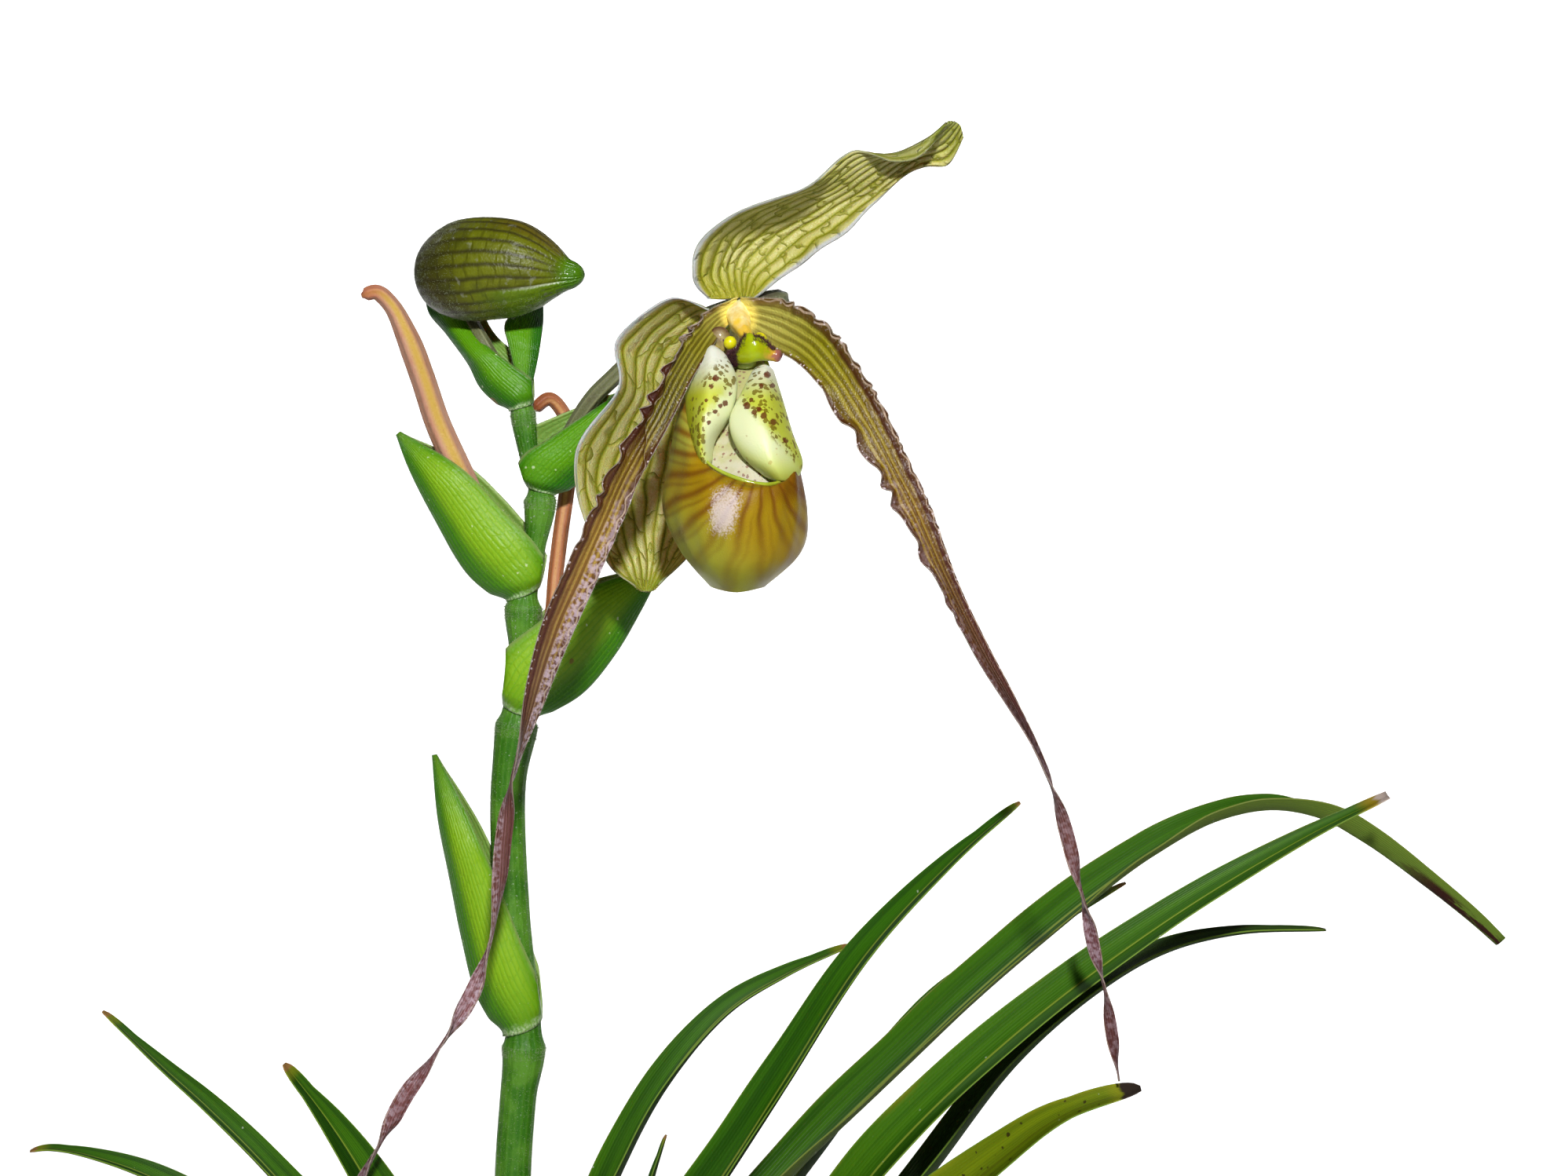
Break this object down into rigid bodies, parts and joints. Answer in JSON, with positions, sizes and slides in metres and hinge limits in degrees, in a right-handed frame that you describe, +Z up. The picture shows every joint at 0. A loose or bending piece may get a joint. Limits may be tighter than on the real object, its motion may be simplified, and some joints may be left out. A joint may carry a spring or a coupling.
{
  "type": "phragmipedium orchid in a clay pot",
  "caption": "Potted slipper orchid: strap leaves, bracted flower stem with a bud and an open flower of long hanging twisted petals and a slipper-shaped lip.",
  "frame": {"origin": "centre of the pot's flat base, on the surface the pot stands on", "axes": "+Z up along the pot's axis, +X to the right across the fans of leaves, and -Y the way the open flower faces"},
  "size_m": [0.3659, 0.136, 0.4498],
  "materials": {
    "clay": "unglazed fired clay, matte, faint lime bloom",
    "bark": "rough damp bark chips",
    "leaf": "smooth waxy green leaf with a lengthwise keel and fine parallel veins",
    "old_leaf": "yellowing waxy leaf with dark spots and a withered tip",
    "stem": "green stem with short whitish down",
    "bract": "light green leafy bract with faint long veins and downy margins",
    "spent_ovary": "ribbed salmon and orange-brown seed stalk, downy",
    "green_ovary": "ribbed green-brown flower stalk, downy",
    "bud": "olive bud with dark long veins and whitish down",
    "petal": "green-amber petal with crisped maroon margins turning maroon-pink downwards",
    "sepal": "silvery green sepal with yellow-green net veins",
    "slipper": "glossy amber-brown pouch with dark veins and spotted cream side lobes",
    "column": "glossy yellow-green column with a dark hairy fringe"
  },
  "bodies": {
    "root": {"pot": "clay", "potting_mix": "bark", "leaf_right_front": "old_leaf", "leaf_right_broad": "leaf", "leaf_left_low": "leaf", "leaf_right_arching": "leaf", "leaf_left_mid": "leaf", "leaf_right_upright": "leaf", "leaf_left_front": "leaf", "leaf_right_slender": "leaf", "leaf_rear_dark": "leaf", "leaf_rear_left": "leaf", "leaf_rear_right": "leaf", "leaf_rear_short": "leaf", "leaf_rear_tip": "leaf", "leaf_young_left": "leaf", "leaf_young_right": "leaf", "leaf_young_centre": "leaf", "flower_stem": "stem", "bract_1": "bract", "bract_2": "bract", "bract_3": "bract", "bract_4": "bract", "bract_5": "bract", "bract_terminal": "bract", "ovary_spent_left": "spent_ovary", "ovary_spent_right": "spent_ovary", "ovary_flower": "green_ovary", "ovary_bud": "green_ovary", "bud": "bud", "petal_left": "petal", "petal_right": "petal", "dorsal_sepal": "sepal", "synsepal": "sepal", "lip": "slipper", "column": "column"}
  },
  "joints": []
}
